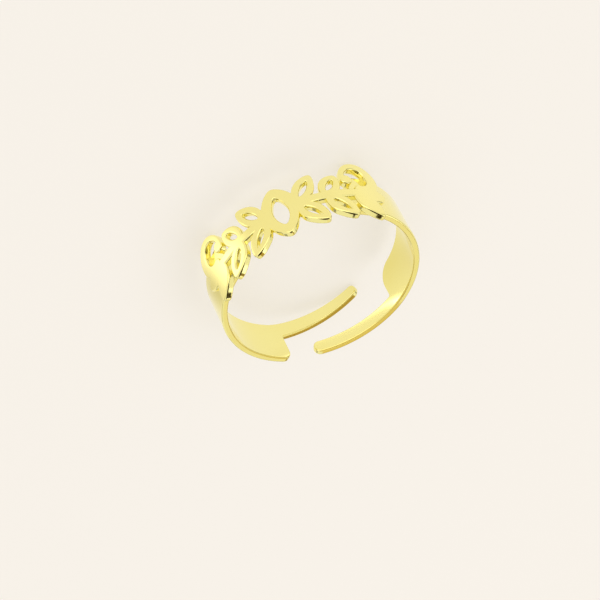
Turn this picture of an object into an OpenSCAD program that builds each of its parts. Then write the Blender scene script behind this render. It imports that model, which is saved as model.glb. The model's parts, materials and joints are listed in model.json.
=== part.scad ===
// Adjustable finger ring with a pierced leaf plate, lying on its side.
// Millimetres. The finger axis is Z and the surface that the ring lies on is Z = 0.
// The plate faces -Y. Angles are counted from -Y towards +X, along the hoop.

/* [Band] */
// Inside diameter of the hoop
inner_d = 17.3; // [16:0.1:20]
// Thickness of the band and its tongues
band_t = 0.6; // [0.5:0.05:0.7]
// Width of the band
band_w = 4.25; // [4:0.05:4.5]
// Height of the band's lower edge above the surface that the ring lies on
band_lift = 1.25; // [1.1:0.05:1.4]

/* [Tongues] */
// Width of a tongue at its root
root_w = 1.6; // [1.5:0.05:1.65]
// Width of the low tongue at its tip
low_tip_w = 1.1; // [1:0.05:1.2]
// Width of the high tongue at its tip
high_tip_w = 1.25; // [1.1:0.05:1.3]
// Angle from the plate's middle to the shoulder of the +X band
low_shoulder = 143; // [140:1:146]
// Angle from the plate's middle to the tip of the low tongue
low_tip = 197; // [190:1:200]
// Slope of the low tongue down to the surface
low_slope = 10; // [9:0.5:10.5]
// Angle from the plate's middle to the shoulder of the -X band
high_shoulder = 145; // [142:1:148]
// Angle from the plate's middle to the tip of the high tongue
high_tip = 201.5; // [190:0.5:204]
// Slope of the high tongue
high_slope = 1.5; // [1:0.5:2.5]

/* [Plate] */
// Thickness of the plate
plate_t = 0.7; // [0.6:0.05:0.8]
// Height of the stem's middle above the surface
stem_z = 3.75; // [3.7:0.05:3.9]
// Width of the stem
stem_w = 0.9; // [0.8:0.05:1]
// Radius of the curl at each end
curl_r = 1.9; // [1.85:0.05:1.95]
// Height of the middle eyelet
eyelet_h = 5.3; // [5:0.1:5.6]
// Width of the middle eyelet
eyelet_w = 3.4; // [3.2:0.1:3.6]
// Length of a leaf
leaf_l = 3.4; // [3.2:0.1:3.5]
// Width of a leaf
leaf_w = 1.9; // [1.7:0.05:2]
// Slant of a leaf to the stem
leaf_slant = 52; // [50:1:56]

/* [Hidden] */
$fn = 128;

inner_r = inner_d / 2;
outer_r = inner_r + band_t;
band_top = band_lift + band_w;

// The plate sinks a little into the band ends that it is soldered to.
solder_lap = 0.15;
plate_in_r = outer_r - solder_lap;
plate_out_r = plate_in_r + plate_t;
plate_r = (plate_in_r + plate_out_r) / 2;

// Distances along the hoop from the middle of the plate
band_start = 6.6;
stem_start = 1.2;
stem_end = 7.6;
first_leaf = 1.45;
leaf_pitch = 2.6;
curl_s = 7.9;
tail_s = 8.45;

// Leaves of one half: place along the stem in pitches, share of the full length, side, pierced or not
PITCHES = 0;
SHARE = 1;
SIDE = 2;
PIERCED = 3;
leaves = [
    [0, 1, 1, true],
    [0, 1, -1, true],
    [1, 1, 1, true],
    [0.95, 0.8, -1, true],
    [2, 1, 1, false]
];
leaf_hole_w = 0.5;
leaf_hole_share = 0.5;
eyelet_hole_h = 3;
eyelet_hole_w = 1.3;
tail_l = 3.1;
tail_rise = 0.1;

// Curl, seen from its middle: its bore, and the gap between its start and its end
curl_bore_r = 1.05;
curl_bore_place = [-0.3, -0.1];
curl_start_turn = 108;
curl_end_turn = 172;

// Round start and end of the curl: turn, distance from the curl's middle, radius
TURN = 0;
REACH = 1;
RADIUS = 2;
curl_knobs = [
    [curl_start_turn, curl_r - 0.45, 0.5],
    [curl_end_turn, curl_r - 0.52, 0.55]
];

// Each tongue starts inside its band, at this distance from the axis along Y.
tongue_start = inner_r - 3;

// Length over which a tongue narrows from its root to its tip
root_to_tip = 8;

// Middle of the high tongue's tip, below the band's upper edge
high_tip_drop = 0.85;
high_tip_z = band_top - high_tip_drop;

// Angle that the high half of the hoop reaches past the tip of its tongue, before the tongue is cut out of it
lap_angle = 6;

// Corners of the shoulders. The share sets their arcs back, so that they meet both edges at a slight angle.
low_corner_r = 0.9;
high_corner_r = 1.8;
corner_share = 0.96;

// Length of a leaf with sharp tips, as a share of its real length
sharp_share = 1.06;

// How far a cutting shape reaches past what it cuts
clear = 1;

function angle_at(s) = s / plate_r * 180 / PI;

// Almond shape along X with blunt tips, cut from three circles
module almond(l, w) {
    sharp_l = sharp_share * l;
    r = (sharp_l * sharp_l + w * w) / (4 * w);
    intersection() {
        translate([0, r - w / 2]) circle(r = r);
        translate([0, w / 2 - r]) circle(r = r);
        circle(d = l);
    }
}

// Almond shape with an almond hole
module pierced_almond(l, w, hole_l, hole_w) {
    difference() {
        almond(l, w);
        almond(hole_l, hole_w);
    }
}

// Prism that runs outwards at an angle, from a distance to the axis. X of its outline is along the hoop.
module outwards(angle, start) {
    rotate([0, 0, angle])
        rotate([90, 0, 0])
            translate([0, 0, start])
                linear_extrude(plate_out_r + clear - start)
                    children();
}

// Outline that is to be cut into the plate at an angle
module on_plate(angle) {
    outwards(angle, plate_in_r - clear) children();
}

// Thick stretch of hoop between two angles and two heights
module stretch(from, to, bottom, top) {
    start = inner_r - clear;
    rotate([0, 0, from - 90])
        rotate_extrude(angle = to - from)
            translate([start, bottom])
                square([plate_out_r + clear - start, top - bottom]);
}

// What its children have in common with the wall of a hoop
module bent_sheet(r_in, r_out) {
    intersection() {
        difference() {
            translate([0, 0, -clear]) cylinder(r = r_out, h = band_top + 4 * clear);
            translate([0, 0, -2 * clear]) cylinder(r = r_in, h = band_top + 6 * clear);
        }
        union() children();
    }
}

// Outline of what is cut off a corner at the origin to round it
module corner_cut(r) {
    inset = corner_share * r;
    translate([-inset, -inset])
        difference() {
            square(inset + clear);
            circle(r = r);
        }
}

// Outline of a tongue that comes from -X, slopes down and ends in a round tip at the origin
module tongue_outline(tip_w, slope) {
    length = inner_r + clear;
    far_w = tip_w + (root_w - tip_w) * length / root_to_tip;
    translate([-tip_w / 2, 0])
        rotate(-slope) {
            circle(d = tip_w);
            polygon([[-length, -far_w / 2], [0, -tip_w / 2], [0, tip_w / 2], [-length, far_w / 2]]);
        }
}

module low_band() {
    tip_x = outer_r * sin(low_tip - 180);
    bent_sheet(inner_r, outer_r) {
        difference() {
            stretch(angle_at(band_start), low_shoulder, band_lift, band_top);
            outwards(low_shoulder, inner_r - 2 * clear)
                translate([0, band_top]) corner_cut(low_corner_r);
        }
        outwards(180, tongue_start)
            translate([tip_x, low_tip_w / 2]) tongue_outline(low_tip_w, low_slope);
    }
}

module high_band() {
    tip_x = outer_r * sin(high_tip - 180);
    bent_sheet(inner_r, outer_r)
        intersection() {
            stretch(-high_tip - lap_angle, -angle_at(band_start), band_lift, band_top);
            union() {
                difference() {
                    stretch(-high_shoulder, 0, -clear, band_top + clear);
                    outwards(-high_shoulder, inner_r - 2 * clear)
                        translate([0, band_lift]) rotate(180) corner_cut(high_corner_r);
                }
                outwards(180, tongue_start)
                    translate([-tip_x, high_tip_z]) mirror([1, 0]) tongue_outline(high_tip_w, high_slope);
            }
        }
}

// One leaf from the stem, placed by its foot
module leaf(s, share, side, pierced) {
    l = leaf_l * share;
    middle = s + l / 2 * cos(leaf_slant);
    on_plate(angle_at(middle))
        translate([0, stem_z + side * l / 2 * sin(leaf_slant)])
            rotate(side * leaf_slant)
                if (pierced)
                    pierced_almond(l, leaf_w, leaf_hole_share * l, leaf_hole_w);
                else
                    almond(l, leaf_w);
}

// Tapering curl that turns down and inwards from the stem and ends in a ball
module curl() {
    gap_turns = [curl_start_turn, curl_end_turn];
    on_plate(angle_at(curl_s))
        translate([0, curl_r]) {
            difference() {
                circle(r = curl_r);
                translate(curl_bore_place) circle(r = curl_bore_r);
                polygon([[0, 0], for (turn = gap_turns) 2 * curl_r * [cos(turn), sin(turn)]]);
            }
            for (knob = curl_knobs)
                rotate(knob[TURN]) translate([knob[REACH], 0]) circle(r = knob[RADIUS]);
        }
}

module tail_leaf() {
    on_plate(angle_at(tail_s))
        translate([0, stem_z + tail_rise])
            almond(tail_l, leaf_w);
}

module half_spray() {
    for (row = leaves)
        leaf(first_leaf + row[PITCHES] * leaf_pitch, row[SHARE], row[SIDE], row[PIERCED]);
    curl();
    tail_leaf();
}

module plate() {
    stem_low = stem_z - stem_w / 2;
    stem_high = stem_z + stem_w / 2;
    bent_sheet(plate_in_r, plate_out_r) {
        on_plate(0)
            translate([0, stem_z])
                rotate(90)
                    pierced_almond(eyelet_h, eyelet_w, eyelet_hole_h, eyelet_hole_w);
        half_spray();
        mirror([1, 0, 0]) half_spray();
        stretch(angle_at(stem_start), angle_at(stem_end), stem_low, stem_high);
        stretch(-angle_at(stem_end), -angle_at(stem_start), stem_low, stem_high);
    }
}

module ring() {
    color("gold") {
        low_band();
        high_band();
        plate();
    }
}

ring();
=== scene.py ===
import json
import math
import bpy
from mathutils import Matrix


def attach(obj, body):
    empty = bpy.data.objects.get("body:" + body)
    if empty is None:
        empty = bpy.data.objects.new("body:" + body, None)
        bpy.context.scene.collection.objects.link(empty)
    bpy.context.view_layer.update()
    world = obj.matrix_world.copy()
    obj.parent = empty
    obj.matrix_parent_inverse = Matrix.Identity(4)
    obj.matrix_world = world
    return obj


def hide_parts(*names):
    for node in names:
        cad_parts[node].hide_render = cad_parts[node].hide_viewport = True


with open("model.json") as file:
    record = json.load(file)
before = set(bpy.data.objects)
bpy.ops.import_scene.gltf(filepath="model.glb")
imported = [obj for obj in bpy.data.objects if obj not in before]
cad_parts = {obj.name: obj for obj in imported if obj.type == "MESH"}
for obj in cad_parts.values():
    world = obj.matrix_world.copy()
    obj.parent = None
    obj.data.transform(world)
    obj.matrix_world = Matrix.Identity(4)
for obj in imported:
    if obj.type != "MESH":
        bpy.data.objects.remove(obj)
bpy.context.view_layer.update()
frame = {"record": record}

from types import SimpleNamespace

import bpy
from mathutils import Matrix, Vector

bl_info = {
    "name": "Pierced leaf ring",
    "version": (1, 0, 0),
    "blender": (4, 5, 0),
    "location": "3D View > Sidebar > Ring",
    "description": "Models a polished adjustable ring with a pierced leaf plate and sets it on a pale floor",
    "category": "Object",
}

# The sheet metal is modelled flat and in millimetres, then rolled up and brought to metres.
# On the flat sheet X runs along the hoop and Z across it.
# Its inner face, towards the finger, has the higher Y, and its outer face the lower one.
MM = 0.001
FINGER_HOLE_R = frame["record"]["mounts"][0]["dims"]["r_mm"]
QUARTER_TURN = math.pi / 2

# How close counts as the same, in millimetres: where something is picked by its place, on the faces of a
# sheet and at the lines that it bends along, where two pieces were joined, and at level edges and trimming cuts
PICK_SLACK = 0.002
FACE_SLACK = 0.0005
JOIN_SLACK = 0.0002
TRIM_SLACK = 0.0001

# Lines where a face bends less than the first are dissolved. Edges that bend more than the second are
# polished round, in this many steps.
FLAT_BEND = math.radians(0.1)
SHARP_BEND = math.radians(60)
EDGE_SEGMENTS = 4

# Almonds are curves: length of their handles, as shares of half their width and length, and how finely their
# outline and their rounded edges are divided
TIP_HANDLE = 0.35
SIDE_HANDLE = 0.5
OUTLINE_RESOLUTION = 18
EDGE_RESOLUTION = 2


def length(name, description, millimetres):
    return bpy.props.FloatProperty(
        name=name, description=description, default=millimetres * MM,
        subtype="DISTANCE", unit="LENGTH", precision=5
    )


def angle(name, description, degrees):
    return bpy.props.FloatProperty(
        name=name, description=description, default=math.radians(degrees), subtype="ANGLE", unit="ROTATION"
    )


def share(name, description, value):
    return bpy.props.FloatProperty(
        name=name, description=description, default=value, min=0, max=1, subtype="FACTOR"
    )


def strength(name, description, value):
    return bpy.props.FloatProperty(name=name, description=description, default=value, min=0)


def colour(name, description, red_green_blue):
    return bpy.props.FloatVectorProperty(
        name=name, description=description, default=red_green_blue, min=0, max=1, size=3, subtype="COLOR"
    )


class BandSizes(bpy.types.PropertyGroup):
    """Sizes of the hoop and its two tongues"""

    inner_r: length("Inner radius", "Radius of the finger hole", FINGER_HOLE_R)
    thickness: length("Thickness", "Thickness of the band and its tongues", 0.6)
    bottom: length("Lower edge", "Height of the band's lower edge above the floor", 1.25)
    top: length("Upper edge", "Height of the band's upper edge above the floor", 5.5)
    start: length("Start", "Distance along the hoop from the plate's middle to a band end", 6.6)
    low_shoulder: angle("Low shoulder", "Angle of the shoulder above the low tongue", 143)
    low_kink: angle("Low kink", "Angle at which the lower edge starts to slope down", 136.5)
    low_tip: angle("Low tip", "Angle of the low tongue's tip", 197)
    low_root_w: length("Low root", "Width of the low tongue at its root", 1.64)
    low_tip_w: length("Low tip width", "Width of the low tongue at its tip", 1.1)
    low_root_z: length("Low root height", "Height of the low tongue's middle at its root", 1.974)
    low_tip_z: length("Low tip height", "Height of the low tongue's middle at its tip", 0.487)
    high_shoulder: angle("High shoulder", "Angle of the shoulder below the high tongue", 145)
    high_tip: angle("High tip", "Angle of the high tongue's tip", 201.5)
    high_root_w: length("High root", "Width of the high tongue at its root", 1.34)
    high_tip_w: length("High tip width", "Width of the high tongue at its tip", 1.25)
    high_tip_z: length("High tip height", "Height of the high tongue's middle at its tip", 4.65)
    low_corner_r: length("Low corner", "Radius of the corner above the low tongue", 0.9)
    high_corner_r: length("High corner", "Radius of the corner below the high tongue", 1.8)
    crotch_r: length("Crotch", "Radius of the inner corner between a tongue and its shoulder", 0.12)
    edge_r: length("Edge rounding", "Radius that polishing leaves on the edges", 0.16)


class PlateSizes(bpy.types.PropertyGroup):
    """Sizes of the pierced plate"""

    thickness: length("Thickness", "Thickness of the plate", 0.7)
    solder_lap: length("Solder lap", "Depth that the plate sinks into the band ends", 0.15)
    stem_z: length("Stem height", "Height of the stem's middle above the floor", 3.75)
    stem_w: length("Stem width", "Width of the stem", 0.9)
    eyelet_h: length("Eyelet height", "Height of the middle eyelet", 5.3)
    eyelet_w: length("Eyelet width", "Width of the middle eyelet", 3.4)
    first_leaf: length("First leaf", "Distance from the plate's middle to the foot of the first leaves", 1.45)
    leaf_pitch: length("Leaf pitch", "Distance along the stem from leaf to leaf", 2.6)
    leaf_l: length("Leaf length", "Length of a full leaf", 3.4)
    leaf_w: length("Leaf width", "Width of a leaf", 1.9)
    leaf_slant: angle("Leaf slant", "Angle of a leaf to the stem", 52)
    curl_r: length("Curl radius", "Radius of the end curls", 1.9)
    edge_r: length("Edge rounding", "Radius that polishing leaves on the edges", 0.19)


class GoldLook(bpy.types.PropertyGroup):
    """Colour and polish of the metal"""

    pale: colour("Pale gold", "Colour of the metal where it is polished most", (0.975, 0.905, 0.385))
    deep: colour("Deep gold", "Colour of the metal where the plating is thicker", (0.96, 0.865, 0.31))
    polish: share("Roughness", "Roughness of the polished metal", 0.09)
    wear: share("Wear", "Extra roughness in the fine wiping marks", 0.1)


class StageLook(bpy.types.PropertyGroup):
    """Floor and light"""

    floor: colour("Floor", "Colour of the floor", (0.93, 0.885, 0.82))
    floor_glow: share("Floor glow", "Share of the floor's light that comes from below", 0.55)
    air: colour("Air", "Colour of the light from all around", (1.0, 0.985, 0.96))
    air_strength: strength("Air strength", "Strength of the light from all around", 0.9)
    window_power: strength("Window power", "Power of the large soft light, in watts", 0.8)


def settings(name):
    """A group of settings as plain numbers, with the lengths in millimetres"""
    group = getattr(bpy.context.scene, name)
    plain = SimpleNamespace()
    for key in type(group).__annotations__:
        value = getattr(group, key)
        kind = group.bl_rna.properties[key].subtype
        if kind == "DISTANCE":
            value = value / MM
        elif kind == "COLOR":
            value = tuple(value)
        setattr(plain, key, value)
    return plain


def hands_off():
    """Leaves edit mode with nothing selected"""
    if bpy.context.mode != "OBJECT":
        bpy.ops.object.mode_set(mode="OBJECT")
    bpy.ops.object.select_all(action="DESELECT")


def take(*pieces):
    """Selects only these pieces, the first of them active"""
    hands_off()
    for piece in pieces:
        piece.select_set(True)
    bpy.context.view_layer.objects.active = pieces[0]


def edit(piece):
    """Enters edit mode on one piece"""
    take(piece)
    bpy.ops.object.mode_set(mode="EDIT")


def set_down(name):
    """Names the piece that was just added, and applies its place"""
    piece = bpy.context.active_object
    piece.name = name
    bpy.ops.object.transform_apply(location=True, rotation=True, scale=True)
    return piece


def pick(piece, kind, test):
    """Enters edit mode with only those vertices, edges or faces selected whose corners pass the test"""
    edit(piece)
    bpy.ops.mesh.select_mode(type=kind)
    bpy.ops.mesh.select_all(action="DESELECT")
    bpy.ops.object.mode_set(mode="OBJECT")
    mesh = piece.data
    if kind == "VERT":
        for vertex in mesh.vertices:
            vertex.select = test([vertex.co])
    else:
        for part in mesh.edges if kind == "EDGE" else mesh.polygons:
            part.select = test([mesh.vertices[index].co for index in part.vertices])
    bpy.ops.object.mode_set(mode="EDIT")


def near(value, target, slack=PICK_SLACK):
    return abs(value - target) < slack


def edge_through(x, z):
    """Test for the short edge that stands across the sheet at a corner of its outline"""
    return lambda corners: all(near(c.x, x) and near(c.z, z) for c in corners)


def anywhere(corners):
    """Test that every part of a piece passes"""
    return True


def add_block(name, low, high):
    hands_off()
    low, high = Vector(low), Vector(high)
    bpy.ops.mesh.primitive_cube_add(size=1, location=(low + high) / 2, scale=high - low)
    return set_down(name)


def add_disc(name, radius, x, z, sides, sheet, longer=0.0):
    """Round prism across the sheet, which may be longer than the sheet is thick"""
    hands_off()
    bpy.ops.mesh.primitive_cylinder_add(
        vertices=sides, radius=radius, depth=sheet.inner - sheet.outer + longer,
        location=(x, (sheet.outer + sheet.inner) / 2, z), rotation=(QUARTER_TURN, 0, 0)
    )
    return flattened(set_down(name), sheet)


def shape_almond(spline, long, wide):
    """Turns a round spline of four points into an almond"""
    for point in spline.bezier_points:
        at_tip = abs(point.co.x) > abs(point.co.y)
        along = (point.handle_right - point.co).normalized()
        reach = TIP_HANDLE * wide / 2 if at_tip else SIDE_HANDLE * long / 2
        point.handle_left_type = point.handle_right_type = "FREE"
        point.co = (point.co.x * long / 2, point.co.y * wide / 2, 0)
        point.handle_right = point.co + along * reach
        point.handle_left = point.co - along * reach


def add_almond(name, sizes, hole, place, turn, sheet):
    """Almond with rounded edges and perhaps a hole: a flat curve that is given the sheet's thickness"""
    hands_off()
    bpy.ops.curve.primitive_bezier_circle_add(radius=1, location=(0, 0, 0))
    curve = bpy.context.active_object
    shape_almond(curve.data.splines[0], *sizes)
    if hole:
        bpy.ops.object.mode_set(mode="EDIT")
        bpy.ops.curve.select_all(action="DESELECT")
        bpy.ops.curve.primitive_bezier_circle_add(radius=1, location=(0, 0, 0))
        bpy.ops.curve.switch_direction()
        bpy.ops.object.mode_set(mode="OBJECT")
        shape_almond(curve.data.splines[1], *hole)
    curve.data.dimensions = "2D"
    curve.data.fill_mode = "BOTH"
    curve.data.resolution_u = OUTLINE_RESOLUTION
    curve.data.extrude = (sheet.inner - sheet.outer) / 2 - sheet.edge_r
    curve.data.bevel_depth = sheet.edge_r
    curve.data.bevel_resolution = EDGE_RESOLUTION
    curve.data.offset = -sheet.edge_r
    curve.location = (place[0], (sheet.outer + sheet.inner) / 2, place[1])
    curve.rotation_euler = (QUARTER_TURN, -turn, 0)
    bpy.ops.object.convert(target="MESH")
    piece = set_down(name)
    bpy.ops.object.mode_set(mode="EDIT")
    bpy.ops.mesh.select_all(action="SELECT")
    bpy.ops.mesh.remove_doubles(threshold=FACE_SLACK)
    bpy.ops.mesh.normals_make_consistent(inside=False)
    hands_off()
    return flattened(piece, sheet)


def flattened(piece, sheet):
    """Brings both faces of a flat piece exactly to the faces of its sheet"""
    for vertex in piece.data.vertices:
        for face_y in (sheet.outer, sheet.inner):
            if near(vertex.co.y, face_y, FACE_SLACK):
                vertex.co.y = face_y
    return piece


def with_modifier(piece, kind, **options):
    """Finishes a piece with one modifier, which is applied"""
    take(piece)
    modifier = piece.modifiers.new(kind.lower(), kind)
    for name, value in options.items():
        setattr(modifier, name, value)
    bpy.ops.object.modifier_apply(modifier=modifier.name)
    return piece


def boolean(piece, other, operation):
    """Joins another piece with a piece, or cuts it out, and uses the other piece up"""
    with_modifier(piece, "BOOLEAN", operation=operation, object=other, solver="EXACT")
    bpy.data.objects.remove(other)
    return piece


def mirrored(piece):
    """Adds the same on the other side of the plate's middle"""
    return with_modifier(piece, "MIRROR", use_axis=(True, False, False), use_mirror_merge=False)


def clean_up(piece):
    """Merges what all but touches, and dissolves the lines inside flat faces"""
    edit(piece)
    bpy.ops.mesh.select_all(action="SELECT")
    bpy.ops.mesh.remove_doubles(threshold=JOIN_SLACK)
    bpy.ops.mesh.dissolve_limited(angle_limit=FLAT_BEND)
    hands_off()


def fused(name, pieces):
    """Solders several pieces to the first of them, one after the other"""
    whole = pieces[0]
    for piece in pieces[1:]:
        clean_up(boolean(whole, piece, "UNION"))
    whole.name = name
    return whole


def polished_edges(piece, sheet):
    """Rounds the outline on both faces of a flat piece, and leaves the edges that stand across it"""
    edit(piece)
    bpy.ops.mesh.select_mode(type="EDGE")
    bpy.ops.mesh.select_all(action="DESELECT")
    bpy.ops.mesh.edges_select_sharp(sharpness=SHARP_BEND)
    bpy.ops.object.mode_set(mode="OBJECT")
    mesh = piece.data
    for edge in mesh.edges:
        first, second = (mesh.vertices[index].co.y for index in edge.vertices)
        edge.select = edge.select and near(first, second, TRIM_SLACK)
    bpy.ops.object.mode_set(mode="EDIT")
    bpy.ops.mesh.bevel(
        offset_type="OFFSET", offset=sheet.edge_r, segments=EDGE_SEGMENTS, profile=0.5, affect="EDGES",
        clamp_overlap=False, loop_slide=False
    )
    hands_off()
    return flattened(piece, sheet)


def roll_radius(band, plate):
    """Distance from the hoop's axis to the middle of the plate, where the flat sheet keeps its length"""
    return band.inner_r + band.thickness - plate.solder_lap + plate.thickness / 2


# A tongue is drawn out of those faces of a band's end that lie within its root, give or take this slack.
ROOT_SLACK = 0.01

# Share of a tongue's width that each arc of its round tip takes: a little under half, so that they don't meet
TIP_SHARE = 0.499

# Steps in the round corners
TIP_SEGMENTS = 14
LOW_CORNER_SEGMENTS = 14
HIGH_CORNER_SEGMENTS = 20
CROTCH_SEGMENTS = 4


class RING_OT_band(bpy.types.Operator):
    """Cuts the two halves of the band with their tongues from flat sheet"""

    bl_idname = "ring.band"
    bl_label = "Band and tongues"

    def execute(self, context):
        band, plate = settings("ring_band"), settings("ring_plate")
        roll_r = roll_radius(band, plate)
        whole = self.low_half(band, roll_r)
        take(whole, self.high_half(band, roll_r))
        bpy.ops.object.join()
        whole.name = "band"
        polished_edges(whole, SimpleNamespace(outer=-band.thickness, inner=0.0, edge_r=band.edge_r))
        return {"FINISHED"}

    def tongue(self, piece, root_x, root_low, root_high, tip_x, tip_z, tip_w):
        """Draws a tongue with a round tip out of the upper or lower part of a band's end face"""
        def in_root(corners):
            low, high = root_low - ROOT_SLACK, root_high + ROOT_SLACK
            return all(near(c.x, root_x) and low < c.z < high for c in corners)

        def across_tip(corners):
            return all(near(c.x, tip_x) for c in corners) and near(corners[0].z, corners[1].z)

        middle = (root_low + root_high) / 2
        pick(piece, "FACE", in_root)
        bpy.ops.mesh.extrude_region_move(
            TRANSFORM_OT_translate={"value": (tip_x - root_x, 0, tip_z - middle)}
        )
        bpy.ops.transform.resize(
            value=(1, 1, tip_w / (root_high - root_low)), center_override=(tip_x, 0, tip_z)
        )
        self.rounded(piece, across_tip, TIP_SHARE * tip_w, TIP_SEGMENTS)

    def rounded(self, piece, test, radius, segments):
        """Rounds those edges across the sheet that pass the test"""
        pick(piece, "EDGE", test)
        bpy.ops.mesh.bevel(
            offset_type="OFFSET", offset=radius, segments=segments, affect="EDGES", clamp_overlap=False
        )
        hands_off()

    def cut_across(self, piece, place, normal):
        """Draws a line through a piece that it can be shaped along"""
        pick(piece, "FACE", anywhere)
        bpy.ops.mesh.bisect(plane_co=place, plane_no=normal, threshold=TRIM_SLACK)
        hands_off()

    def low_half(self, band, roll_r):
        shoulder_x = band.low_shoulder * roll_r
        root_low = band.low_root_z - band.low_root_w / 2
        root_high = band.low_root_z + band.low_root_w / 2
        half = add_block(
            "low half", (band.start, -band.thickness, band.bottom), (shoulder_x, 0, band.top)
        )
        self.cut_across(half, (band.low_kink * roll_r, 0, 0), (1, 0, 0))
        pick(half, "VERT", lambda corners: near(corners[0].x, shoulder_x) and near(corners[0].z, band.bottom))
        bpy.ops.transform.translate(value=(0, 0, root_low - band.bottom))
        self.cut_across(half, (0, 0, root_high), (0, 0, 1))
        self.tongue(
            half, shoulder_x, root_low, root_high, band.low_tip * roll_r, band.low_tip_z, band.low_tip_w
        )
        self.rounded(half, edge_through(shoulder_x, band.top), band.low_corner_r, LOW_CORNER_SEGMENTS)
        self.rounded(half, edge_through(shoulder_x, root_high), band.crotch_r, CROTCH_SEGMENTS)
        return half

    def high_half(self, band, roll_r):
        shoulder_x = -band.high_shoulder * roll_r
        root_low = band.top - band.high_root_w
        half = add_block(
            "high half", (shoulder_x, -band.thickness, band.bottom), (-band.start, 0, band.top)
        )
        self.cut_across(half, (0, 0, root_low), (0, 0, 1))
        self.tongue(
            half, shoulder_x, root_low, band.top, -band.high_tip * roll_r, band.high_tip_z, band.high_tip_w
        )
        self.rounded(half, edge_through(shoulder_x, band.bottom), band.high_corner_r, HIGH_CORNER_SEGMENTS)
        self.rounded(half, edge_through(shoulder_x, root_low), band.crotch_r, CROTCH_SEGMENTS)
        return half


# Leaves of one half: place along the stem in pitches, share of the full length, side of the stem, and whether
# the leaf is pierced
LEAVES = [
    (0, 1, 1, True),
    (0, 1, -1, True),
    (1, 1, 1, True),
    (0.95, 0.8, -1, True),
    (2, 1, 1, False),
]
LAST_LEAF = LEAVES[-1][0]

# Holes in the leaves and in the eyelet: length and width
LEAF_HOLE_SHARE = 0.5
LEAF_HOLE_W = 0.5
EYELET_HOLE = (3.0, 1.3)

# Distances along the stem
STEM_START = 1.2
LAST_LEAF_TO_CURL = 1.25
STEM_END_TO_CURL = 0.3
CURL_TO_TAIL = 0.55

# Tail leaf: its length, and its height above the middle of the stem
TAIL_L = 3.1
TAIL_RISE = 0.1

# Bore of a curl, seen from the curl's middle
BORE_R = 1.05
BORE_X = -0.3
BORE_Z = -0.1

# Round ends of a curl: turn in degrees, side of the gap, radius, distance from the curl's middle
CURL_KNOBS = [
    (108, 1, 0.5, 1.45),
    (172, -1, 0.55, 1.38),
]

# Sides of the round prisms that a curl is made of
CURL_SIDES = 112
BORE_SIDES = 80
GAP_SIDES = 48
KNOB_SIDES = 52


class RING_OT_plate(bpy.types.Operator):
    """Makes the pierced leaf plate from pieces of flat sheet with polished edges"""

    bl_idname = "ring.plate"
    bl_label = "Pierced leaf plate"

    def execute(self, context):
        band, plate = settings("ring_band"), settings("ring_plate")
        inner = plate.solder_lap - band.thickness
        sheet = SimpleNamespace(outer=inner - plate.thickness, inner=inner, edge_r=plate.edge_r)
        curl_x = plate.first_leaf + LAST_LEAF * plate.leaf_pitch + LAST_LEAF_TO_CURL
        half = [self.leaf(plate, sheet, *leaf) for leaf in LEAVES]
        half.append(self.tail_leaf(plate, sheet, curl_x + CURL_TO_TAIL))
        half.append(self.curl(plate, sheet, curl_x))
        half.append(self.stem(plate, sheet, curl_x - STEM_END_TO_CURL))
        spray = mirrored(fused("spray", half))
        eyelet = add_almond(
            "eyelet", (plate.eyelet_h, plate.eyelet_w), EYELET_HOLE, (0, plate.stem_z), QUARTER_TURN, sheet
        )
        fused("plate", [eyelet, spray])
        return {"FINISHED"}

    def leaf(self, plate, sheet, pitches, part, side, pierced):
        """Leaf that slants away from the stem, placed by its foot"""
        long = plate.leaf_l * part
        x = plate.first_leaf + pitches * plate.leaf_pitch + long / 2 * math.cos(plate.leaf_slant)
        z = plate.stem_z + side * long / 2 * math.sin(plate.leaf_slant)
        hole = (LEAF_HOLE_SHARE * long, LEAF_HOLE_W) if pierced else None
        return add_almond("leaf", (long, plate.leaf_w), hole, (x, z), side * plate.leaf_slant, sheet)

    def tail_leaf(self, plate, sheet, x):
        return add_almond(
            "tail leaf", (TAIL_L, plate.leaf_w), None, (x, plate.stem_z + TAIL_RISE), 0, sheet
        )

    def stem(self, plate, sheet, end):
        stem = add_block(
            "stem", (STEM_START, sheet.outer, plate.stem_z - plate.stem_w / 2),
            (end, sheet.inner, plate.stem_z + plate.stem_w / 2)
        )
        return polished_edges(stem, sheet)

    def curl(self, plate, sheet, x):
        """Curl that tapers towards its gap, with a round knob on both sides of the gap"""
        z = plate.curl_r
        curl = add_disc("curl", plate.curl_r, x, z, CURL_SIDES, sheet)
        bore = add_disc("bore", BORE_R, x + BORE_X, z + BORE_Z, BORE_SIDES, sheet, longer=1)
        polished_edges(boolean(curl, bore, "DIFFERENCE"), sheet)
        gap = add_disc("gap", 2 * plate.curl_r, x, z, GAP_SIDES, sheet, longer=2)
        knobs = []
        for degrees, side, radius, reach in CURL_KNOBS:
            turn = math.radians(degrees)
            pick(gap, "FACE", anywhere)
            bpy.ops.mesh.bisect(
                plane_co=(x, 0, z), plane_no=(-side * math.sin(turn), 0, side * math.cos(turn)),
                use_fill=True, clear_inner=True, threshold=TRIM_SLACK
            )
            knob = add_disc(
                "end", radius, x + reach * math.cos(turn), z + reach * math.sin(turn), KNOB_SIDES, sheet
            )
            knobs.append(polished_edges(knob, sheet))
        boolean(curl, gap, "DIFFERENCE")
        return fused("curl", [curl, *knobs])


# Angle of hoop from one bending line to the next
STRIP_ANGLE = math.radians(2)

# Kinds of face on the flat sheet, told apart by how much of their direction points across it
FLAT, WALL, ROUND = range(3)
FLAT_FROM = 0.999
WALL_UP_TO = 0.02

# Faces smaller than this don't take part in the shading.
SLIVER_AREA = 1e-7

# Widest angle in degrees to the faces round a corner that shade it: for a wall by other walls, and for a
# rounded edge by the kinds that are tried one after the other
WALL_BEND = 40
ROUND_BENDS = ((FLAT, 70), (WALL, 70), (ROUND, 45))


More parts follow.
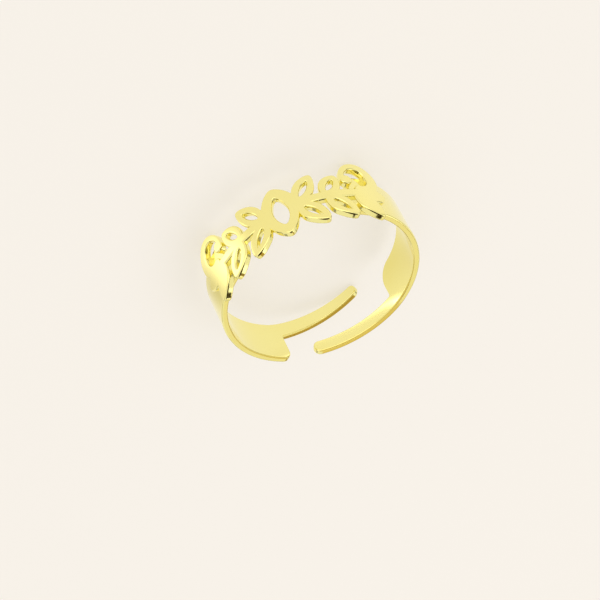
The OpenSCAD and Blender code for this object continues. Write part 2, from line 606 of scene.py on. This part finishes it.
def kind_of(face):
    across = abs(face.normal.y)
    if across > FLAT_FROM:
        return FLAT
    return WALL if across < WALL_UP_TO else ROUND


class RING_OT_solder(bpy.types.Operator):
    """Solders the plate to the band ends and rolls the sheet up into a hoop"""

    bl_idname = "ring.solder"
    bl_label = "Solder and roll"

    def execute(self, context):
        band, plate = settings("ring_band"), settings("ring_plate")
        roll_r = roll_radius(band, plate)
        hoop = fused("ring_polished", [bpy.data.objects["plate"], bpy.data.objects["band"]])
        hoop.data.name = "ring_polished"
        self.cut_strips(hoop, band, roll_r)
        normals = self.flat_normals(hoop)
        self.roll(hoop, normals, band, roll_r)
        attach(hoop, "root")
        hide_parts("ring")
        return {"FINISHED"}

    def cut_strips(self, hoop, band, roll_r):
        """Draws the lines across the sheet that it bends along"""
        step = STRIP_ANGLE * roll_r
        edit(hoop)
        bpy.ops.mesh.select_mode(type="FACE")
        x = -band.high_tip * roll_r + step / 2
        while x < band.low_tip * roll_r:
            bpy.ops.mesh.select_all(action="SELECT")
            bpy.ops.mesh.bisect(plane_co=(x, 0, 0), plane_no=(1, 0, 0), threshold=FACE_SLACK)
            x += step
        hands_off()

    def flat_normals(self, hoop):
        """Direction of the surface at each face corner of the flat sheet, so that the polish shades evenly"""
        mesh = hoop.data
        kinds = [kind_of(face) for face in mesh.polygons]
        around = [[] for _ in mesh.vertices]
        for face in mesh.polygons:
            if face.area > SLIVER_AREA:
                for vertex in face.vertices:
                    around[vertex].append(face.index)

        def blend(vertex, face, wanted, widest):
            total = Vector()
            closest = math.cos(math.radians(widest))
            for other in around[vertex]:
                neighbour = mesh.polygons[other]
                if kinds[other] == wanted and neighbour.normal.dot(face.normal) > closest:
                    total += neighbour.normal * math.sqrt(neighbour.area)
            return total

        normals = []
        for face in mesh.polygons:
            for vertex in face.vertices:
                if kinds[face.index] == FLAT:
                    total = Vector((0, math.copysign(1, face.normal.y), 0))
                elif kinds[face.index] == WALL:
                    total = blend(vertex, face, WALL, WALL_BEND)
                else:
                    total = Vector()
                    for wanted, widest in ROUND_BENDS:
                        if total.length == 0:
                            total = blend(vertex, face, wanted, widest)
                normals.append(total.normalized() if total.length > 0 else face.normal.copy())
        return normals

    def roll(self, hoop, normals, band, roll_r):
        """Bends the flat sheet round the finger hole, to metres, and turns the shading with it"""
        mesh = hoop.data
        turns = []
        for vertex in mesh.vertices:
            turn = vertex.co.x / roll_r
            radius = band.inner_r - vertex.co.y
            turns.append(turn)
            vertex.co = Vector((radius * math.sin(turn), -radius * math.cos(turn), vertex.co.z)) * MM
        bent = []
        corner = 0
        for face in mesh.polygons:
            face.use_smooth = True
            for vertex in face.vertices:
                bent.append(Matrix.Rotation(turns[vertex], 3, "Z") @ normals[corner])
                corner += 1
        mesh.normals_split_custom_set(bent)
        mesh.update()


class Wire:
    """A node socket that can be used in sums, so that shader maths reads as Python"""

    def __init__(self, tree, socket):
        self.tree = tree
        self.socket = socket

    def maths(self, operation, first, second):
        return node(self.tree, "ShaderNodeMath", {"operation": operation}, {0: first, 1: second})

    def __add__(self, other):
        return self.maths("ADD", self, other)

    def __radd__(self, other):
        return self.maths("ADD", other, self)

    def __sub__(self, other):
        return self.maths("SUBTRACT", self, other)

    def __rsub__(self, other):
        return self.maths("SUBTRACT", other, self)

    def __mul__(self, other):
        return self.maths("MULTIPLY", self, other)

    def __rmul__(self, other):
        return self.maths("MULTIPLY", other, self)


def node(tree, kind, options, inputs, output=0):
    """Adds a node, sets its options first, then fills its inputs with values or wires"""
    made = tree.nodes.new(kind)
    for name, value in options.items():
        setattr(made, name, value)
    for name, value in inputs.items():
        if isinstance(value, Wire):
            tree.links.new(value.socket, made.inputs[name])
        else:
            made.inputs[name].default_value = value
    return Wire(tree, made.outputs[output])


def new_material(name):
    material = bpy.data.materials.new(name)
    material.use_nodes = True
    material.node_tree.nodes.clear()
    return material


def to_surface(tree, shader):
    """Ends a material: sends its last shader to the surface"""
    output = tree.nodes.new("ShaderNodeOutputMaterial")
    tree.links.new(shader.socket, output.inputs["Surface"])


def opaque(rgb):
    return (*rgb, 1.0)


# Sockets of a Mix node that mixes colours: first colour, second colour, result
MIX_FIRST = 6
MIX_SECOND = 7
MIX_RESULT = 2

# Noise in the polish: scale and detail. The cloudiness is broad, the grain and the wiping marks are fine.
CLOUD = (260.0, 2.0)
GRAIN = (2600.0, 3.0)
MARKS = (1500.0, 4.0)

# Turn of the wiping marks in radians, and how much closer together they lie along each direction
WIPE_TURN = (0.4, 0.3, 0.2)
WIPE_SQUEEZE = (1.0, 1.0, 9.0)

# Ripple that grain and marks leave in the polish: its strength, its depth in metres, and the marks' share
RIPPLE_STRENGTH = 0.04
RIPPLE_DEPTH = 0.00004
RIPPLE_MARKS = 0.6


class RING_OT_gold(bpy.types.Operator):
    """Gives the ring its polished pale gold"""

    bl_idname = "ring.gold"
    bl_label = "Polished gold"

    def execute(self, context):
        look = settings("ring_gold")
        material = new_material("polished_gold")
        tree = material.node_tree
        place = node(tree, "ShaderNodeTexCoord", {}, {}, "Object")
        cloud = self.noise(tree, place, *CLOUD)
        grain = self.noise(tree, place, *GRAIN)
        wiped = node(
            tree, "ShaderNodeMapping", {}, {"Vector": place, "Rotation": WIPE_TURN, "Scale": WIPE_SQUEEZE}
        )
        marks = self.noise(tree, wiped, *MARKS)
        tint = node(
            tree, "ShaderNodeMix", {"data_type": "RGBA"},
            {"Factor": cloud, MIX_FIRST: opaque(look.pale), MIX_SECOND: opaque(look.deep)}, MIX_RESULT
        )
        ripple = node(tree, "ShaderNodeBump", {}, {
            "Strength": RIPPLE_STRENGTH,
            "Distance": RIPPLE_DEPTH,
            "Height": grain + RIPPLE_MARKS * marks,
        })
        metal = node(tree, "ShaderNodeBsdfPrincipled", {}, {
            "Base Color": tint,
            "Metallic": 1.0,
            "Roughness": look.polish + look.wear * (marks * cloud),
            "Normal": ripple,
        })
        to_surface(tree, metal)
        hoop = bpy.data.objects["ring_polished"]
        hoop.data.materials.clear()
        hoop.data.materials.append(material)
        return {"FINISHED"}

    def noise(self, tree, place, scale, detail):
        return node(
            tree, "ShaderNodeTexNoise", {}, {"Vector": place, "Scale": scale, "Detail": detail}, "Fac"
        )


PALE_LIGHT = (1.0, 0.96, 0.9)
GOLDEN_LIGHT = (1.0, 0.93, 0.74)
AMBER_LIGHT = (1.0, 0.79, 0.35)
BROWN_LIGHT = (1.0, 0.66, 0.16)

# Far cards face the middle of the ring, near ones the tongues at its back. Places and distances are in
# millimetres.
RING_MIDDLE = (0, 0, 0)
HIGH_TONGUE = (-1, 9, 5.4)
LOW_TONGUE = (1.3, 9, 1.9)
FAR = 500
NEAR = 13
NEAREST = 9

# Cards that only the metal reflects: name, what it faces, azimuth and elevation seen from there, distance,
# width and height, brightness, colour
CARDS = [
    ("dark card overhead", RING_MIDDLE, 0, 84, FAR, (500, 900), 0.04, BROWN_LIGHT),
    ("bright card in front", RING_MIDDLE, 0, 18, FAR, (700, 240), 1.5, PALE_LIGHT),
    ("golden card behind", RING_MIDDLE, 180, 38, FAR, (200, 200), 0.88, GOLDEN_LIGHT),
    ("brown card behind", RING_MIDDLE, -156, 42, FAR, (120, 200), 0.42, BROWN_LIGHT),
    ("grey card behind", RING_MIDDLE, 180, 9, FAR, (800, 120), 0.3, PALE_LIGHT),
    ("grey card on the left", RING_MIDDLE, -100, 9, FAR, (500, 120), 0.35, PALE_LIGHT),
    ("grey card on the right", RING_MIDDLE, 100, 9, FAR, (500, 120), 0.35, PALE_LIGHT),
    ("amber card above the tongues", LOW_TONGUE, 0, 82, NEAREST, (10, 10), 0.7, AMBER_LIGHT),
    ("amber card behind the high tongue", HIGH_TONGUE, 180, 38, NEAR, (9.5, 2.4), 0.74, AMBER_LIGHT),
    ("brown card behind the low tongue", LOW_TONGUE, -165, 36, NEAR, (13, 4), 0.45, BROWN_LIGHT),
]

# Soft patches of light on the floor or just above it, which only the metal reflects: name, place,
# half width and half depth, brightness, colour. Each lies a little above the one before.
PATCHES = [
    ("pale patch under the ring", (0, 0, 0.02), (34, 34), 0.94, PALE_LIGHT),
    ("bright patch at the front left", (-12.5, -7.5, 0.04), (7.5, 7.5), 1.0, PALE_LIGHT),
    ("bright patch at the front right", (11.2, -9.5, 0.06), (6.3, 6.3), 2.0, PALE_LIGHT),
    ("golden patch on the right", (12, -1.8, 0.08), (4.5, 4.5), 0.72, GOLDEN_LIGHT),
    ("golden patch inside the hoop", (-4.5, 6, 0.1), (6, 6), 0.84, GOLDEN_LIGHT),
    ("bright patch inside the hoop", (-0.25, 5.6, 1.5), (1.35, 0.5), 3.6, PALE_LIGHT),
]
PATCH_SIDES = 64

# Floor and window, in metres
FLOOR_SIZE = 3
FLOOR_ROUGHNESS = 0.8
FLOOR_SHINE = 0.05
WINDOW_PLACE = (-0.2, 0.3, 0.6)
WINDOW_SIZE = 0.6

# Camera: azimuth, elevation and roll in degrees. Its distance is in millimetres, and so is the point that it
# looks at: a height on the finger axis, and from there to the left and down in the picture.
# Lens and sensor are in millimetres too, and what it sees lies between two distances in metres.
CAMERA_ANGLES = (-1.75, 38.44, 153.38)
CAMERA_DISTANCE = 191.73
AIM_HEIGHT = 5.5
AIM_LEFT = 1.917
AIM_DOWN = 0.994
LENS = 132
SENSOR_WIDTH = 36
CLIP_START = 0.01
CLIP_END = 10


def direction(azimuth, elevation):
    """Way from the ring to what stands round it. The azimuth counts from the front, and both are radians"""
    return Vector((
        math.sin(azimuth) * math.cos(elevation), -math.cos(azimuth) * math.cos(elevation), math.sin(elevation)
    ))


class RING_OT_stage(bpy.types.Operator):
    """Sets the pale floor, the soft light and the camera"""

    bl_idname = "ring.stage"
    bl_label = "Stage"

    def execute(self, context):
        look = settings("ring_stage")
        context.scene.view_settings.view_transform = "Standard"
        self.floor(look)
        self.air(look)
        self.window(look)
        for card in CARDS:
            self.card(*card)
        for patch in PATCHES:
            self.patch(*patch)
        self.camera()
        return {"FINISHED"}

    def floor(self, look):
        hands_off()
        bpy.ops.mesh.primitive_plane_add(size=FLOOR_SIZE, location=(0, 0, 0))
        floor = set_down("floor")
        material = new_material("pale_floor")
        tree = material.node_tree
        paint = node(tree, "ShaderNodeBsdfPrincipled", {}, {
            "Base Color": opaque([(1 - look.floor_glow) * part for part in look.floor]),
            "Roughness": FLOOR_ROUGHNESS,
            "Specular IOR Level": FLOOR_SHINE,
            "Emission Color": opaque(look.floor),
            "Emission Strength": look.floor_glow,
        })
        to_surface(tree, paint)
        floor.data.materials.append(material)

    def air(self, look):
        """Even light from all around"""
        world = bpy.data.worlds.new("studio air")
        bpy.context.scene.world = world
        world.use_nodes = True
        background = world.node_tree.nodes["Background"]
        background.inputs["Color"].default_value = opaque(look.air)
        background.inputs["Strength"].default_value = look.air_strength

    def window(self, look):
        """Large soft light, turned towards the ring"""
        hands_off()
        bpy.ops.object.light_add(type="AREA", location=WINDOW_PLACE)
        window = bpy.context.active_object
        window.name = "window"
        window.data.shape = "RECTANGLE"
        window.data.size = window.data.size_y = WINDOW_SIZE
        window.data.energy = look.window_power
        window.rotation_euler = (-window.location).to_track_quat("-Z", "Y").to_euler()

    def card(self, name, faced, azimuth, elevation, distance, size, brightness, tone):
        """A card that only the polished metal reflects"""
        away = direction(math.radians(azimuth), math.radians(elevation))
        hands_off()
        bpy.ops.mesh.primitive_plane_add(
            size=MM, location=(Vector(faced) + distance * away) * MM,
            rotation=away.to_track_quat("Z", "Y").to_euler()
        )
        bpy.ops.transform.resize(value=(*size, 1), orient_type="LOCAL")
        card = set_down(name)
        material = new_material(name)
        tree = material.node_tree
        to_surface(tree, self.glow(tree, tone, brightness))
        self.only_reflected(card, material)

    def patch(self, name, place, reach, brightness, tone):
        """A round or oval patch of light that fades towards its rim"""
        middle = Vector(place) * MM
        hands_off()
        bpy.ops.mesh.primitive_circle_add(vertices=PATCH_SIDES, radius=MM, fill_type="NGON", location=middle)
        bpy.ops.transform.resize(value=(*reach, 1))
        patch = set_down(name)
        material = new_material(name)
        tree = material.node_tree
        spot = node(tree, "ShaderNodeTexCoord", {}, {}, "Object")
        centred = node(
            tree, "ShaderNodeMapping", {"vector_type": "TEXTURE"},
            {"Vector": spot, "Location": middle, "Scale": (reach[0] * MM, reach[1] * MM, 1)}
        )
        fade = 1 - node(tree, "ShaderNodeVectorMath", {"operation": "LENGTH"}, {0: centred}, "Value")
        soft = fade * fade * (3 - 2 * fade)
        glow = self.glow(tree, tone, brightness)
        clear = node(tree, "ShaderNodeBsdfTransparent", {}, {})
        to_surface(tree, node(tree, "ShaderNodeMixShader", {}, {0: soft, 1: clear, 2: glow}))
        self.only_reflected(patch, material)

    def glow(self, tree, tone, brightness):
        return node(tree, "ShaderNodeEmission", {}, {"Color": opaque(tone), "Strength": brightness})

    def only_reflected(self, sheet, material):
        """Shows a sheet of light in the metal alone"""
        sheet.data.materials.append(material)
        sheet.visible_camera = sheet.visible_diffuse = sheet.visible_shadow = False

    def camera(self):
        """The camera looks down on the plate from the front, and is turned over"""
        azimuth, elevation, roll = (math.radians(degrees) for degrees in CAMERA_ANGLES)
        back = direction(azimuth, elevation)
        right = (-back).cross(Vector((0, 0, 1))).normalized()
        down = (-back).cross(right)
        right, down = (
            math.cos(roll) * right - math.sin(roll) * down,
            math.sin(roll) * right + math.cos(roll) * down,
        )
        middle = Vector((0, 0, AIM_HEIGHT * MM)) - AIM_LEFT * MM * right + AIM_DOWN * MM * down
        data = bpy.data.cameras.new("camera")
        data.lens = LENS
        data.sensor_width = SENSOR_WIDTH
        data.clip_start = CLIP_START
        data.clip_end = CLIP_END
        camera = bpy.data.objects.new("camera", data)
        bpy.context.collection.objects.link(camera)
        turn = Matrix((right, -down, back)).transposed()
        camera.matrix_world = Matrix.Translation(middle + back * (CAMERA_DISTANCE * MM)) @ turn.to_4x4()
        bpy.context.scene.camera = camera


STEPS = (RING_OT_band, RING_OT_plate, RING_OT_solder, RING_OT_gold, RING_OT_stage)
GROUPS = {
    "ring_band": BandSizes,
    "ring_plate": PlateSizes,
    "ring_gold": GoldLook,
    "ring_stage": StageLook,
}


class RING_PT_steps(bpy.types.Panel):
    """Lists the settings and the steps that make the ring"""

    bl_idname = "RING_PT_steps"
    bl_label = "Pierced leaf ring"
    bl_space_type = "VIEW_3D"
    bl_region_type = "UI"
    bl_category = "Ring"

    def draw(self, context):
        for name, group in GROUPS.items():
            box = self.layout.box()
            for key in group.__annotations__:
                box.prop(getattr(context.scene, name), key)
        for step in STEPS:
            self.layout.operator(step.bl_idname)


def register():
    for made in (*GROUPS.values(), *STEPS, RING_PT_steps):
        bpy.utils.register_class(made)
    for name, group in GROUPS.items():
        setattr(bpy.types.Scene, name, bpy.props.PointerProperty(type=group))


def unregister():
    for name in GROUPS:
        delattr(bpy.types.Scene, name)
    for made in (RING_PT_steps, *reversed(STEPS), *reversed(GROUPS.values())):
        bpy.utils.unregister_class(made)


def main():
    register()
    for step in STEPS:
        area, name = step.bl_idname.split(".")
        getattr(getattr(bpy.ops, area), name)()


if __name__ == "__main__":
    main()
